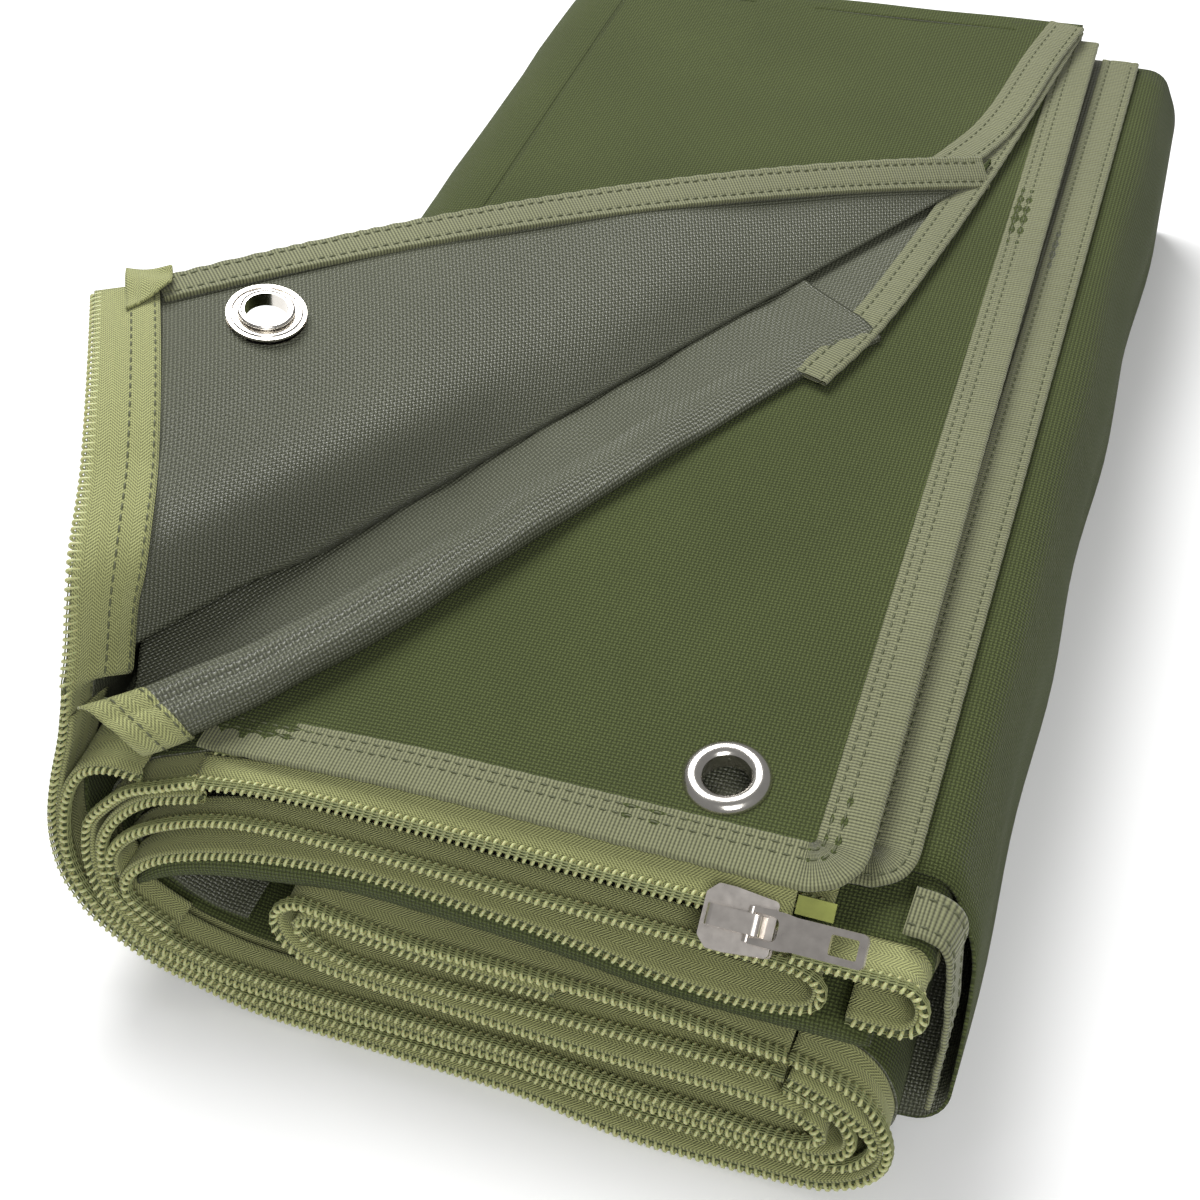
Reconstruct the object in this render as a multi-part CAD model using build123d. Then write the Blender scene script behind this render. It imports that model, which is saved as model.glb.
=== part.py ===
"""Bivy sack of coated canvas, folded into a flat bundle, in millimetres.

+X runs along the zip edges, +Y runs from the zip edges to the folded back, +Z is up.
The origin is on the ground, under the middle of the bundle.
"""
from build123d import *
from math import cos, radians, sin
import os

os.makedirs("parts", exist_ok=True)

# driving sizes
cloth = 1.0                     # thickness of the coated canvas
tape_thickness = 1.4            # zip tape sewn to the canvas
tape_width = 15.0
coil_width = 4.4                # one half of the zip's coil, across the tape
coil_height = 2.8
binding_width = 13.0
binding_thickness = 1.6         # folded over the canvas edge
front_line = -182.7             # y of the leaning front at top_level
back_line = 205.0               # y where the cloth doubles over at the back
top_level = 76.0                # z of the third panel's upper face
lean = 0.415                    # the front spreads outwards by this much for each mm down
hole_radius = 6.0               # eyelets
flange_radius = 11.0
barrel_radius = 6.7

# z of each flat panel's lower face, from the top of the bundle down
shell_top_level = 80.2
lining_top_level = 77.6
lining_lower_level = top_level - cloth
shell_lower_level = 68.6
binding_step = (binding_thickness - cloth) / 2      # centres a binding on its cloth
side_setback = 26               # the right side's cloth starts behind the zips


def write(shape, name):
    export_step(shape, f"parts/{name}.step")


# Folds with a constant section: cloth, zip tape and zip coil.

def lean_plane(offset):
    """The leaning front plane, moved back by offset."""
    return Plane(origin=(0, front_line + offset, top_level), x_dir=(1, 0, 0), z_dir=(0, 1, -lean))


def prism(outline, start, end=back_line):
    """An outline in X and Z, run along Y from the leaning front at start to the back."""
    face = Plane.XZ.offset(-end) * outline
    solid = extrude(face, amount=end - front_line + 90)
    return split(solid, bisect_by=lean_plane(start), keep=Keep.TOP)


def ribbon(outline, start, end):
    """The slice of a prism between two leaning planes."""
    return split(prism(outline, start), bisect_by=lean_plane(end), keep=Keep.BOTTOM)


def fold(name, corners, corner_radii, zip_top=top_level):
    """A folded run of cloth, and its zip tape and coil up to zip_top."""
    route = FilletPolyline(corners, radius=corner_radii)
    below = Plane.XY.offset(zip_top)
    tape = ribbon(trace(route, tape_thickness), 0, tape_width)
    coil = ribbon(trace(route, coil_height), -coil_width, 0)
    write(prism(trace(route, cloth), tape_width), f"{name}_cloth")
    write(split(tape, bisect_by=below, keep=Keep.BOTTOM), f"{name}_zip_tape")
    write(split(coil, bisect_by=below, keep=Keep.BOTTOM), f"{name}_zip_coil")


# the four outer runs go down the left side, back under the bundle and up round the right
fold("outer_fold",
     [(-84.5, 80.7), (-117, 80.7), (-119, 1.4), (115, 1.4), (115, 31), (90, 32)],
     [30, 32, 14.5, 14])
fold("second_fold",
     [(-84.5, 78.1), (-112, 78.1), (-114.5, 5.4), (111, 5.4), (111, 27.2), (90, 28)],
     [27, 28, 10.6, 10.4])
fold("third_fold",
     [(-72.2, 75.5), (-106, 75.5), (-109, 9.4), (106.5, 9.4), (106.5, 23.4), (90, 23.9)],
     [28, 26, 6.8, 6.6], zip_top=72)
fold("fourth_fold", [(-72.2, 69.1), (-101, 69.1), (-104.5, 13.4), (84, 13.4)], [24, 22])

# inner folds, rolled up inside the four outer ones
fold("loop_fold",
     [(-58, 18.4), (-99.5, 18.4), (-98.5, 56), (-60, 60.5), (96, 60.5), (96, 50), (-60, 55),
      (-93.5, 51.5), (-94, 23.4), (-64, 23.4)],
     [16, 16, 60, 5.1, 5.1, 60, 12, 12])
fold("core_outer",
     [(88, 32), (-4, 39.5), (-50, 42.5), (-50, 20), (-10, 20), (86, 18.6)],
     [60, 10, 10, 60])
fold("core_inner",
     [(88, 28), (-4, 35.4), (-46, 38.2), (-46, 24.4), (-10, 24.2), (44, 23.6)],
     [60, 6, 6, 60])
fold("rear_loop", [(86, 64.5), (117, 64.5), (117, 53), (100, 53)], [5.6, 5.6])

# the foot end of the sack is doubled cloth with no zip
foot_route = FilletPolyline((108, 41.5), (-44, 49.5), (-86, 47.5), (-86, 43), (-52, 45), (108, 37),
                            radius=[40, 2.1, 2.1, 40])
write(prism(trace(foot_route, cloth), 3), "foot_end_cloth")

# the bottom run bulges out past the bound edges on the right
side_route = FilletPolyline((121, 63), (125, 50), (125, 2.4), (112, 1.2), radius=[30, 9])
write(prism(trace(side_route, cloth), side_setback), "right_side_cloth")

# bound ends of the lower panels, bent down over the right side
drop_route = FilletPolyline((109, 67), (120.3, 66), (122, 34), radius=6)
write(ribbon(trace(drop_route, binding_thickness), 8, 8 + binding_width), "right_side_binding")


def back_fold(name, low, high, left, right):
    """The half tube where two runs of cloth join at the back."""
    radius = (high - low) / 2
    ring = Pos(back_line + 0.2, low + radius) * (Circle(radius) - Circle(radius - cloth))
    half = ring & Pos(back_line + 0.2 + radius, low + radius) * Rectangle(2 * radius, 2 * radius)
    write(extrude(Plane.YZ.offset(left) * half, amount=right - left), name)


back_fold("top_back_fold_outer", shell_lower_level, shell_top_level + cloth, -80, 86)
back_fold("top_back_fold_inner", lining_lower_level, lining_top_level + cloth, -80, 86)
back_fold("base_back_fold_outer", 0.9, 13.9, -80, 84)
back_fold("base_back_fold_inner", 4.9, 9.9, -80, 84)


# Flat panels on top of the bundle.

def slab(points, level, thickness, corner_radii=0):
    """A flat piece of cloth or binding with a plan outline."""
    outline = FilletPolyline(points, radius=corner_radii, close=True)
    return Pos(0, 0, level) * extrude(make_face(outline), amount=thickness)


# top panel: flat at the back left, up to the line where its corner is turned over
write(slab([(-84, -134), (-84, 204), (74, 204), (60, 97)], shell_top_level, cloth), "top_panel_cloth")
write(slab([(74.2, 204), (87, 204), (73, 117.5), (60.4, 97)],
           shell_top_level - binding_step, binding_thickness), "top_panel_binding")

# second panel: its corner is tucked under along a diagonal, where the cloth makes a soft roll
roll_radius = 2.3
roll_start = Vector(-74, -168, lining_top_level + cloth + roll_radius)
roll_end = Vector(49, 16.5, lining_top_level + cloth + roll_radius)
roll_plane = Plane(origin=roll_start, z_dir=roll_end - roll_start)
write(slab([(-84, -176), (-74, -176), (46, 8), (54, 50), (64, 112), (74, 204), (-84, 204)],
           lining_top_level, cloth), "second_panel_cloth")
roll_length = (roll_end - roll_start).length
write(extrude(roll_plane * Circle(roll_radius - 0.2), amount=roll_length), "second_panel_roll")
write(slab([(74.2, 204), (87, 204), (77, 112), (67, 50), (58, 8), (46.4, 8), (54.3, 50), (64.3, 112)],
           lining_top_level - binding_step, binding_thickness), "second_panel_binding")

# third panel: bound along the front and the right
bound_front = -179.0
bound_right = 98.0
inner_front = bound_front + binding_width
inner_right = bound_right - binding_width
taper = 5                       # the right edge runs in a little towards the back
third_eyelet = Vector(60, -153.7, top_level)
third_cloth = slab([(-71.9, inner_front), (inner_right, inner_front),
                    (inner_right - taper, 204), (-71.9, 204)], lining_lower_level, cloth)
write(third_cloth - Pos(third_eyelet) * Cylinder(barrel_radius + 0.2, 8), "third_panel_cloth")
write(slab([(-71.9, bound_front), (bound_right, bound_front), (bound_right - taper, 204),
            (inner_right - taper + 0.2, 204), (inner_right + 0.2, inner_front - 0.2), (-71.9, inner_front - 0.2)],
           lining_lower_level - binding_step, binding_thickness, [0, 12, 0, 0, 0, 0]), "third_panel_binding")

# fourth panel: set back in front, and wider
fourth_front = -169.5
fourth_right = 108.0
write(slab([(-71.9, fourth_front), (fourth_right - binding_width, fourth_front),
            (fourth_right - binding_width, 204), (-71.9, 204)],
           shell_lower_level, cloth), "fourth_panel_cloth")
write(slab([(fourth_right - binding_width + 0.2, fourth_front), (fourth_right, fourth_front),
            (fourth_right, 204), (fourth_right - binding_width + 0.2, 204)],
           shell_lower_level - binding_step, binding_thickness, [0, 12, 0, 0]), "fourth_panel_binding")


# The turned-over corner of the top panel.

hinge_front = Vector(-104, -177, 86)
hinge_back = Vector(74, 115, 81.6)
corner = Vector(-143, -76, 125)
zip_edge_pull = Vector(-98, -150, 131)
bound_edge_pull = Vector(-34, 34, 115)
zip_edge_length = 150.0
bound_edge_length = 290.0


def corner_point(front, back):
    """A point on the curved corner, from its weights on the two ends of the hinge line."""
    free = 1 - front - back
    edges = hinge_front * front**2 + hinge_back * back**2 + corner * free**2
    pulls = (hinge_front + hinge_back) * front * back
    pulls += (zip_edge_pull * front + bound_edge_pull * back) * 2 * free
    return edges + pulls


def corner_patch(back_low, back_high, front_range, thickness, steps=10):
    """A strip of the corner, thickened evenly about its middle surface."""
    grid = []
    for i in range(steps + 1):
        back = back_low + (back_high - back_low) * i / steps
        low, high = front_range(back)
        grid.append([corner_point(low + (high - low) * j / steps, back) for j in range(steps + 1)])
    return thicken(Face.make_surface_from_array_of_points(grid), amount=thickness / 2, both=True)


coil_share = coil_width / bound_edge_length
tape_share = tape_width / bound_edge_length
binding_share = binding_width / zip_edge_length
corner_coil = corner_patch(-coil_share, -0.001, lambda back: (0, 0.97), coil_height)
write(corner_coil, "corner_zip_coil")
write(corner_patch(0, tape_share, lambda back: (0, 0.985 - back), tape_thickness), "corner_zip_tape")
write(corner_patch(tape_share + 0.001, 0.9,
                   lambda back: (0, binding_share * min(1, 8 * (0.995 - back))),
                   binding_thickness), "corner_binding")

eyelet_front = 0.18
eyelet_back = 0.149
eyelet_middle = corner_point(eyelet_front, eyelet_back)
along_front = corner_point(eyelet_front + 0.05, eyelet_back) - corner_point(eyelet_front - 0.05, eyelet_back)
along_back = corner_point(eyelet_front, eyelet_back + 0.03) - corner_point(eyelet_front, eyelet_back - 0.03)
corner_eyelet = Plane(origin=eyelet_middle, x_dir=along_back, z_dir=along_back.cross(along_front))
corner_cloth = corner_patch(tape_share + 0.001, 0.84,
                            lambda back: (binding_share + 0.003, 0.985 - back), cloth)


# the spare end of the zip tape, folded into a small triangle on the corner
tail_plane = Plane(origin=corner_point(0.03, 0.03), x_dir=along_back, z_dir=along_back.cross(along_front))
tail = extrude(make_face(Polyline((-13, -9), (4, -9), (-4, 5), close=True)), amount=5)
write(tail_plane * Pos(0, 0, 3.4) * tail, "corner_tape_end")


# Eyelets.

def eyelet_barrel():
    """Domed flange on the cloth's face, with a barrel curled over the washer behind."""
    corners = [(hole_radius, 1.4), (hole_radius, -3.2), (barrel_radius, -3.2), (barrel_radius, 0.05),
               (flange_radius, 0.05)]
    dome = [Line(a, b) for a, b in zip(corners, corners[1:])]
    dome.append(ThreePointArc(corners[-1], (8.9, 2.3), corners[0]))
    curl = Pos(barrel_radius + 0.5, -2.7) * Circle(0.75)
    section = make_face(Wire(dome)) + (curl - Pos(0, -2.7) * Rectangle(2 * hole_radius, 4))
    return revolve(Plane.XZ * section, axis=Axis.Z)


def eyelet_washer():
    """Flat ring with a raised rib, between the cloth and the curled barrel."""
    section = Pos(9.05, -1.45) * Rectangle(4, 0.8) + Pos(9.6, -1.8) * Circle(0.45)
    return revolve(Plane.XZ * section, axis=Axis.Z)


third_place = Pos(third_eyelet)
write(third_place * eyelet_barrel(), "third_eyelet")
write(third_place * eyelet_washer(), "third_eyelet_washer")

# the corner's eyelet has its dome on the woven face, underneath
corner_place = corner_eyelet.location * Pos(0, 0, cloth / 2)
corner_cloth -= corner_eyelet * Cylinder(barrel_radius + 0.2, 8)
write(corner_cloth - corner_place * eyelet_washer() - corner_place * eyelet_barrel(), "corner_cloth")
write(corner_place * eyelet_barrel(), "corner_eyelet")
write(corner_place * eyelet_washer(), "corner_eyelet_washer")


# The third panel's zip: straight, drooping from the bound edge.

zip_drop = radians(30)
slider_x = 73
zip_plane = Plane(origin=(slider_x, -185, 70.5), x_dir=(1, 0, 0),
                  z_dir=(0, -sin(zip_drop), cos(zip_drop)))
zip_left = -70 - slider_x
zip_right = 10
stop_right = 21
coil_edge = coil_width / 2
coil_length = zip_right - zip_left
tape_length = stop_right - zip_left
write(zip_plane * Pos(zip_left + coil_length / 2, 0) * Box(coil_length, coil_width, coil_height),
      "third_panel_zip_coil")
write(zip_plane * Pos(zip_left + tape_length / 2, coil_edge + 2.4) * Box(tape_length, 4.6, tape_thickness),
      "third_panel_zip_tape")

# the fourth panel's zip lies back under it
fourth_edge = Polyline((-68, 68.4), (92, 68.4))
write(ribbon(trace(fourth_edge, tape_thickness), 11, 15.5), "fourth_panel_zip_tape")
write(ribbon(trace(fourth_edge, coil_height), 7, 10.9), "fourth_panel_zip_coil")

# stop end: a pin in line with the coil, and a stiff film on the tape
write(zip_plane * Pos(15.8, 0) * Rot(0, 90, 0) * Cylinder(1.2, 11), "insertion_pin")
write(zip_plane * Pos(16, 4.6, -1.3) * Box(9, 4.4, 1.0), "tape_end_film")

# slider: two plates joined by a wedge at the nose, with side walls that leave a slot for the tape
plate = 1.3
channel = 1.8                   # half the clear height between the plates
slider_middle = -2.6            # the coil rides on the +Y side of the wedge
nose = -8.5
shoulder = -2.0
tail_end = 8.5
wall = 1.3
half_nose = 7.5
half_tail = 6.4
slider_place = zip_plane.location * Pos(0, slider_middle)
plate_outline = [(nose, 2.5 - half_nose), (nose + 2.5, -half_nose), (shoulder, -half_nose),
                 (tail_end, -half_tail), (tail_end, half_tail), (shoulder, half_nose),
                 (nose + 2.5, half_nose), (nose, half_nose - 2.5)]
outline = make_face(FilletPolyline(plate_outline, radius=1.2, close=True))
plates = extrude(outline, amount=channel + plate, both=True) - Box(40, 40, 2 * channel)
walls = extrude(outline - offset(outline, amount=-wall), amount=channel, both=True) - Box(40, 40, 2)
walls -= Pos(nose, 0) * Box(8, 40, 4 * channel)
walls -= Pos(tail_end, 0) * Box(6, 40, 4 * channel)
wedge_outline = Polyline((nose + 0.6, -1.2), (nose + 0.6, 0.3), (shoulder, 0.05), (shoulder, -0.9),
                         close=True)
wedge = extrude(make_face(wedge_outline), amount=channel, both=True)
write(slider_place * (plates + walls + wedge), "slider_body")

# crown: an arch along the top plate, which holds the pull tab's bar and covers the lock
plate_top = channel + plate
crown_width = 4.8
crown_high = 4.4
crown_front = nose + 1.2
crown_back = 6.6
crown_side = FilletPolyline((crown_front, 0), (nose + 1.6, crown_high - 0.6),
                            (5.6, crown_high), (crown_back, 0), radius=[1.6, 1.8])
crown_face = make_face(Curve() + [crown_side, Line((crown_back, 0), (crown_front, 0))])
tunnel = make_face(FilletPolyline((nose + 4.6, -1), (nose + 4.6, crown_high - 2.0), (4.6, crown_high - 1.3),
                                  (5.0, -1), radius=[0.8, 1.2, 0, 0], close=True))
crown = extrude(Plane.XZ * (crown_face - tunnel), amount=crown_width / 2, both=True)
write(slider_place * Pos(0, 0, plate_top + 0.02) * crown, "slider_crown")

# lock: a thin spring strip in the tunnel, under the bar
write(slider_place * Pos(-0.6, 0, plate_top + 0.3) * Box(5.4, 2.2, 0.4), "lock_spring")

# pull tab: a bar in the tunnel, two arms round the crown, and a plate with a window
bar_x = 3.0
bar_radius = 0.85
bar_height = plate_top + 1.85
tab_rise = 12                   # the tab rests on the bound edge, a little above flat
arm = 1.4
tab_half = crown_width / 2 + 0.5 + arm
tab_length = 28
tab_thickness = 1.3
tab_corners = [(0, -tab_half), (8, -tab_half), (11, -3.9), (tab_length, -3.9),
               (tab_length, 3.9), (11, 3.9), (8, tab_half), (0, tab_half)]
tab_outline = make_face(FilletPolyline(tab_corners, radius=[1.2, 2, 2, 1.4, 1.4, 2, 2, 1.2], close=True))
slot_length = 8.5               # clears the crown while the tab turns
window_length = 6.6
slot = Pos(2.9, 0) * RectangleRounded(slot_length, crown_width + 1.0, radius=1.8)
window = Pos(tab_length - 5.2, 0) * RectangleRounded(window_length, 4.6, radius=0.5)
tab_plate = extrude(tab_outline - slot - window, amount=tab_thickness / 2, both=True)
tab_plate -= Pos(-1.4, 0) * Box(2.8, 40, 10)
tab_bar = Rot(90, 0, 0) * Cylinder(bar_radius, 2 * tab_half - 0.4)
tab_place = slider_place * Pos(bar_x, 0, bar_height) * Rot(0, -tab_rise, 0)
write(tab_place * (tab_plate + tab_bar), "pull_tab")
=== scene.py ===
import math

import bmesh
import bpy
import numpy as np
from mathutils import Euler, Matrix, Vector


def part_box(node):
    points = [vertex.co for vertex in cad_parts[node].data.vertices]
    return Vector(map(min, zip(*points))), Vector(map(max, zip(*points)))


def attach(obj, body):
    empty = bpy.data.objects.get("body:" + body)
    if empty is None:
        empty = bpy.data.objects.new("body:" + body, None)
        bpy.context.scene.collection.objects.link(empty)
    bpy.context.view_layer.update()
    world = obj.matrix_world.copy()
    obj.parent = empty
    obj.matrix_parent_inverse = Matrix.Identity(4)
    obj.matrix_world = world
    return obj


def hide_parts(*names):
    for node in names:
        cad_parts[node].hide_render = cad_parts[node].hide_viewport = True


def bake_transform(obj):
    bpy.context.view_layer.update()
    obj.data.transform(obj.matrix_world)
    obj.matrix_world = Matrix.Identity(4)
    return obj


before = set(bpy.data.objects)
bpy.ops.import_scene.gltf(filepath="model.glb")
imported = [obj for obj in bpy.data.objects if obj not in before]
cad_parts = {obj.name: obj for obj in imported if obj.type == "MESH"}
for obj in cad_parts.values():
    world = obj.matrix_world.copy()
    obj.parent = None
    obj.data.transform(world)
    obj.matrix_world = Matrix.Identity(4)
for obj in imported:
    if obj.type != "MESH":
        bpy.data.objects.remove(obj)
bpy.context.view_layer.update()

# Folded bivy sack. Lengths below are millimetres in the CAD frame, and become metres in each mesh.
mm = 0.001
bundle = {
    "frontLine": -182.7,      # y of the leaning front at topLevel
    "lean": 0.415,            # how far the front spreads for each mm down
    "topLevel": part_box("third_panel_cloth")[1].z / mm,
    "backLine": 205.0,
    "clothThickness": 0.9,
    "tapeWidth": 15.0,
}
up = np.array([0.0, 0.0, 1.0])


def frontAt(level):
    return bundle["frontLine"] + bundle["lean"] * (level - bundle["topLevel"])


def unit(vectors):
    return vectors / np.maximum(np.linalg.norm(vectors, axis=-1, keepdims=True), 1e-9)


def lengthsAlong(points):
    return np.concatenate([[0], np.cumsum(np.linalg.norm(np.diff(points, axis=0), axis=1))])


def readAlong(values, along, at):
    return np.stack([np.interp(at, along, values[:, k]) for k in range(values.shape[1])], 1)


def resample(points, step):
    along = lengthsAlong(points)
    at = np.linspace(0, along[-1], max(2, int(round(along[-1] / step)) + 1))
    return readAlong(points, along, at)


def roundedRoute(corners, radii, step=1.5):
    # straight runs joined by arcs, as evenly spaced points
    corners = [np.array(c, float) for c in corners]
    radii = radii if isinstance(radii, list) else [radii] * (len(corners) - 2)
    line = [corners[0]]
    for before, middle, after, radius in zip(corners, corners[1:], corners[2:], radii):
        u, v = unit(before - middle), unit(after - middle)
        half = math.acos(np.clip(u @ v, -1, 1)) / 2
        centre = middle + unit(u + v) * radius / math.sin(half)
        reach = radius / math.tan(half)
        first, last = middle + u * reach - centre, middle + v * reach - centre
        start = math.atan2(first[1], first[0])
        turn = (math.atan2(last[1], last[0]) - start + math.pi) % (2 * math.pi) - math.pi
        count = max(4, int(abs(turn) * radius / 0.6))
        angles = start + turn * np.linspace(0, 1, count)
        line += list(centre + radius * np.stack([np.cos(angles), np.sin(angles)], 1))
    line.append(corners[-1])
    return resample(np.array(line), step)


def smoothCurve(points, step=2.0):
    # a Catmull-Rom curve through the points, evenly spaced
    p = np.array(points, float)
    p = np.concatenate([[2 * p[0] - p[1]], p, [2 * p[-1] - p[-2]]])
    t = np.linspace(0, 1, 12, endpoint=False)[:, None]
    runs = []
    for a, b, c, d in zip(p, p[1:], p[2:], p[3:]):
        square, cube = 2 * a - 5 * b + 4 * c - d, 3 * b - a - 3 * c + d
        runs.append(0.5 * (2 * b + (c - a) * t + square * t**2 + cube * t**3))
    return resample(np.concatenate(runs + [p[-2:-1]]), step)


def ripple(points, amount, size, seed, waves=8):
    # a soft, uneven height at each point, from a few fixed sine waves
    rng = np.random.default_rng(seed)
    total = np.zeros(points.shape[:-1])
    for _ in range(waves):
        heading = unit(rng.normal(size=3))
        length = size * (0.6 + 0.9 * rng.random())
        total += np.sin(points @ heading * 2 * math.pi / length + 6.283 * rng.random())
    return total * amount / math.sqrt(waves)


# materials

def addNode(tree, kind, **settings):
    node = tree.nodes.new("ShaderNode" + kind)
    for key, value in settings.items():
        setattr(node, key, value)
    return node


def wire(tree, source, target):
    tree.links.new(source, target)


def calc(tree, operation, first, second=None, third=None):
    node = addNode(tree, "Math", operation=operation)
    for slot, value in enumerate((first, second, third)):
        if value is None:
            continue
        if isinstance(value, (int, float)):
            node.inputs[slot].default_value = value
        else:
            wire(tree, value, node.inputs[slot])
    return node.outputs[0]


def newGroup(name, inputs, outputs):
    tree = bpy.data.node_groups.new(name, "ShaderNodeTree")
    for label, kind, value in inputs:
        socket = tree.interface.new_socket(label, in_out="INPUT", socket_type="NodeSocket" + kind)
        socket.default_value = value
    for label, kind in outputs:
        tree.interface.new_socket(label, in_out="OUTPUT", socket_type="NodeSocket" + kind)
    return tree, tree.nodes.new("NodeGroupInput").outputs, tree.nodes.new("NodeGroupOutput").inputs


def clothPlace(tree):
    # where a point lies on the flat cloth, in millimetres
    place = addNode(tree, "UVMap", uv_map="cloth")
    parts = addNode(tree, "SeparateXYZ")
    wire(tree, place.outputs["UV"], parts.inputs[0])
    return place.outputs["UV"], parts.outputs["X"], parts.outputs["Y"]


def makePlainWeave():
    tree, given, result = newGroup("plainWeave", [("Pitch", "Float", 0.9), ("Slack", "Float", 0.12)],
                                   [("Height", "Float"), ("Warp", "Float")])
    place, x, y = clothPlace(tree)
    noise = addNode(tree, "TexNoise")
    noise.inputs["Scale"].default_value = 0.35
    noise.inputs["Detail"].default_value = 2.0
    wire(tree, place, noise.inputs["Vector"])
    shift = calc(tree, "MULTIPLY", calc(tree, "SUBTRACT", noise.outputs["Fac"], 0.5), given["Slack"])
    step = calc(tree, "DIVIDE", math.pi, given["Pitch"])
    a = calc(tree, "COSINE", calc(tree, "MULTIPLY", calc(tree, "ADD", x, shift), step))
    b = calc(tree, "COSINE", calc(tree, "MULTIPLY", calc(tree, "ADD", y, shift), step))
    over = calc(tree, "MULTIPLY", a, b)
    warp = calc(tree, "MULTIPLY", calc(tree, "ABSOLUTE", a), calc(tree, "ADD", over, 1.0))
    weft = calc(tree, "MULTIPLY", calc(tree, "ABSOLUTE", b), calc(tree, "SUBTRACT", 1.0, over))
    wire(tree, calc(tree, "MULTIPLY", calc(tree, "MAXIMUM", warp, weft), 0.5), result["Height"])
    wire(tree, calc(tree, "GREATER_THAN", warp, weft), result["Warp"])
    return tree


def makeHerringbone():
    tree, given, result = newGroup("herringbone", [("Pitch", "Float", 0.75), ("Band", "Float", 3.0)],
                                   [("Height", "Float")])
    place, x, y = clothPlace(tree)
    zig = calc(tree, "PINGPONG", y, given["Band"])
    slope = calc(tree, "ADD", x, zig)
    turn = calc(tree, "DIVIDE", 2 * math.pi, given["Pitch"])
    diagonal = calc(tree, "SINE", calc(tree, "MULTIPLY", slope, turn))
    fine = calc(tree, "SINE", calc(tree, "MULTIPLY", y, 2 * math.pi / 0.55))
    both = calc(tree, "ADD", calc(tree, "MULTIPLY", diagonal, 0.32), calc(tree, "MULTIPLY", fine, 0.16))
    wire(tree, calc(tree, "ADD", both, 0.5), result["Height"])
    return tree


def makeRibbedTape():
    tree, given, result = newGroup("ribbedTape", [("Pitch", "Float", 0.8)], [("Height", "Float")])
    place, x, y = clothPlace(tree)
    turn = calc(tree, "DIVIDE", math.pi, given["Pitch"])
    rib = calc(tree, "ABSOLUTE", calc(tree, "COSINE", calc(tree, "MULTIPLY", x, turn)))
    across = calc(tree, "COSINE", calc(tree, "MULTIPLY", y, 2 * math.pi / 0.95))
    both = calc(tree, "ADD", calc(tree, "MULTIPLY", rib, 0.8), calc(tree, "MULTIPLY", across, 0.1))
    wire(tree, both, result["Height"])
    return tree


def makeClothToneAndThreadShade():
    # cloth colour scaled by the Height input: for woven finishes this is painted shade between the threads, for plain
    # finishes random tone; also uneven at random over the yarns and over larger patches
    tree, given, result = newGroup(
        "clothToneAndThreadShade",
        [("Colour", "Color", (0.15, 0.18, 0.08, 1)), ("Height", "Float", 0.5), ("Depth", "Float", 0.5),
         ("Patches", "Float", 0.15), ("Fuzz", "Float", 0.2)],
        [("Color", "Color")])
    place = addNode(tree, "TexCoord").outputs["Object"]
    patch = addNode(tree, "TexNoise")
    patch.inputs["Scale"].default_value = 22
    patch.inputs["Detail"].default_value = 3
    fuzz = addNode(tree, "TexNoise")
    fuzz.inputs["Scale"].default_value = 1400
    fuzz.inputs["Detail"].default_value = 2
    for node in (patch, fuzz):
        wire(tree, place, node.inputs["Vector"])
    # painted shade: the colour drops by up to Depth where Height is low, which for a weave is between the threads
    low = calc(tree, "SUBTRACT", 1.0, given["Depth"])
    crest = calc(tree, "ADD", low, calc(tree, "MULTIPLY", given["Height"], given["Depth"]))
    large, small = (
        calc(tree, "ADD", 1.0, calc(tree, "MULTIPLY", calc(tree, "SUBTRACT", noise.outputs["Fac"], 0.5), amount))
        for noise, amount in ((patch, given["Patches"]), (fuzz, given["Fuzz"])))
    total = calc(tree, "MULTIPLY", calc(tree, "MULTIPLY", crest, large), small)
    scale = addNode(tree, "VectorMath", operation="SCALE")
    wire(tree, given["Colour"], scale.inputs[0])
    wire(tree, total, scale.inputs["Scale"])
    wire(tree, scale.outputs[0], result["Color"])
    return tree


groups = {"plainWeave": makePlainWeave(), "herringbone": makeHerringbone(),
          "ribbedTape": makeRibbedTape(), "clothToneAndThreadShade": makeClothToneAndThreadShade()}


def useGroup(tree, name, **values):
    node = addNode(tree, "Group", node_tree=groups[name])
    for key, value in values.items():
        socket = node.inputs[key]
        if hasattr(value, "links"):
            wire(tree, value, socket)
        else:
            socket.default_value = value
    return node


def newMaterial(name, roughness, **fixed):
    material = bpy.data.materials.new(name)
    material.use_nodes = True
    shader = material.node_tree.nodes["Principled BSDF"]
    shader.inputs["Roughness"].default_value = roughness
    for key, value in fixed.items():
        shader.inputs[key.replace("_", " ")].default_value = value
    return material, material.node_tree, shader


def addBump(tree, shader, height, strength, distance):
    bump = addNode(tree, "Bump")
    bump.inputs["Strength"].default_value = strength
    bump.inputs["Distance"].default_value = distance
    wire(tree, height, bump.inputs["Height"])
    wire(tree, bump.outputs["Normal"], shader.inputs["Normal"])


def wovenMaterial(name, weave, look):
    material, tree, shader = newMaterial(name, look["roughness"], **look.get("fixed", {}))
    pattern = useGroup(tree, weave, **look["weave"])
    height = pattern.outputs["Height"]
    # the weave height darkens the colour between the threads: painted shade, as deep as look["depth"]
    tone = useGroup(tree, "clothToneAndThreadShade", Colour=(*look["colour"], 1), Height=height, Depth=look["depth"],
                    Patches=look["patches"], Fuzz=look["fuzz"])
    wire(tree, tone.outputs["Color"], shader.inputs["Base Color"])
    addBump(tree, shader, height, look["bump"], look["relief"] * mm)
    return material


# depth: how far painted shade darkens each cloth's colour between its threads
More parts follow.
